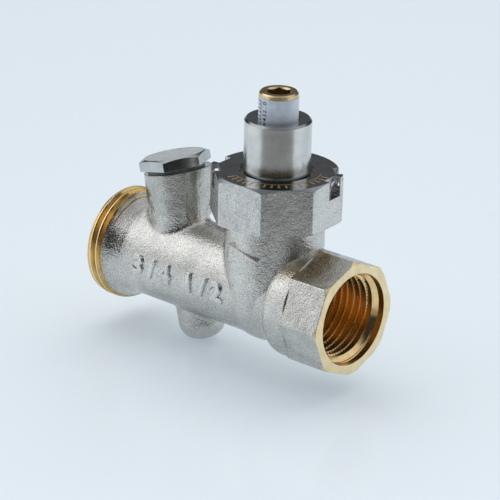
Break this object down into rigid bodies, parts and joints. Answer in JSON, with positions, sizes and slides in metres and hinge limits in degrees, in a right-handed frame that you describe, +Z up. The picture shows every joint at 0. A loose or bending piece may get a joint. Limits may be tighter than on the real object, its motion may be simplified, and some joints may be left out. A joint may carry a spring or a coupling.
{
  "type": "shut-off regulating valve",
  "caption": "Straight brass shut-off and regulating valve with union nut, turned sleeve, hexagon socket spindle with scale ring, plugged side boss, male inlet and female outlet.",
  "frame": {"origin": "middle of the inlet's end face, on the pipe axis", "axes": "+X along the pipe from inlet to outlet, +Z up along the spindle, -Y towards the side with the flow arrow"},
  "size_m": [0.07, 0.029, 0.0655],
  "materials": {
    "nickel_cast": "nickel plated over a blasted pressing",
    "nickel_turned": "nickel plated, turned",
    "bare_brass": "turned, bare",
    "black_rubber": "moulded",
    "white_plastic": "moulded, satin",
    "slip_plastic": "machined, waxy",
    "steel": "stainless, bright"
  },
  "bodies": {
    "valve": {"valve_body": "nickel_cast", "drain_plug": "nickel_turned", "plug_seal": "black_rubber", "union_nut": "nickel_cast", "slip_ring": "slip_plastic", "neck_gasket": "black_rubber", "bonnet_insert": "nickel_turned", "insert_seal_lower": "black_rubber", "insert_seal_upper": "black_rubber"},
    "disc_set": {"disc_holder": "bare_brass", "holder_clip": "steel", "slip_washer": "slip_plastic", "disc_seal": "black_rubber", "regulating_cone": "bare_brass", "lock_washer": "steel", "disc_screw": "steel"},
    "spindle_set": {"spindle": "bare_brass", "scale_ring": "white_plastic", "spindle_seal_lower": "black_rubber", "spindle_guide_ring": "slip_plastic", "spindle_seal_upper": "black_rubber"}
  },
  "joints": [
    {"name": "disc_lift", "type": "slide", "parent": "valve", "child": "disc_set", "axis": [0, 0, 1], "range_m": [-0.003, 0.001]},
    {"name": "spindle_turn", "type": "hinge", "parent": "disc_set", "child": "spindle_set", "pos_m": [0.0465, 0, 0.03], "axis": [0, 0, 1], "range_deg": [-1080, 360]}
  ],
  "couplings": [
    {"joint": "spindle_turn", "follows": "disc_lift", "rad_per_m": 6283.2}
  ]
}
